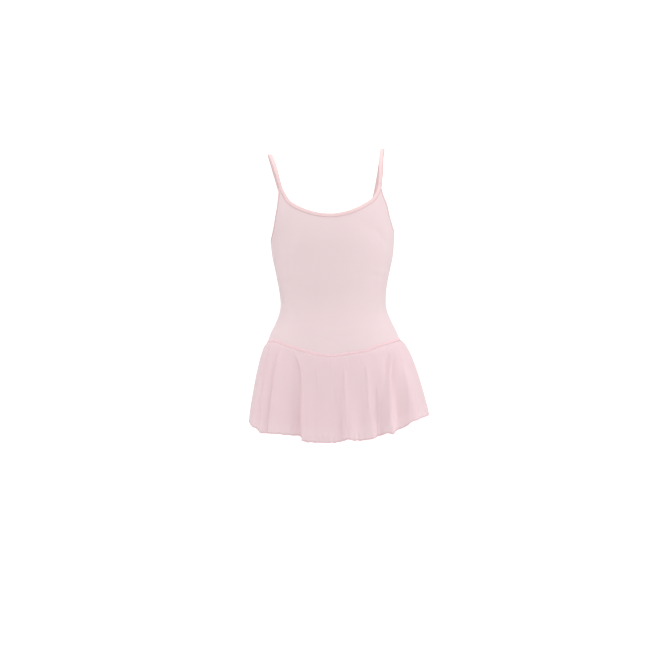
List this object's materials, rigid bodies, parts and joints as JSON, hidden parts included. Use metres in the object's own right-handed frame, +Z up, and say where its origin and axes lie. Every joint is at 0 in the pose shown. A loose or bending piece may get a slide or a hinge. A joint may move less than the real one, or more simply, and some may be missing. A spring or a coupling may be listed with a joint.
{
  "type": "skirted leotard",
  "caption": "Child's camisole leotard with thin shoulder straps, a scooped neck and a short sheer skirt sewn into a dropped waist seam.",
  "frame": {"origin": "midway between the tops of the two shoulder straps, where the wearer's shoulders hold the garment up", "axes": "+Z up along the body, -Y out of the front, +X to the right as seen from the front"},
  "size_m": [0.3436, 0.24, 0.5521],
  "materials": {
    "jersey": "matte fine-knit stretch jersey",
    "binding": "smooth folded stretch binding",
    "sheer": "fine sheer knit with a rolled hem"
  },
  "bodies": {
    "root": {"bodice_front": "jersey", "bodice_back": "jersey", "brief_front": "jersey", "brief_back": "jersey", "skirt": "sheer", "waist_roll": "binding", "neck_binding_front": "binding", "neck_binding_back": "binding", "armhole_binding_left": "binding", "armhole_binding_right": "binding", "strap_left": "binding", "strap_right": "binding"}
  },
  "joints": []
}
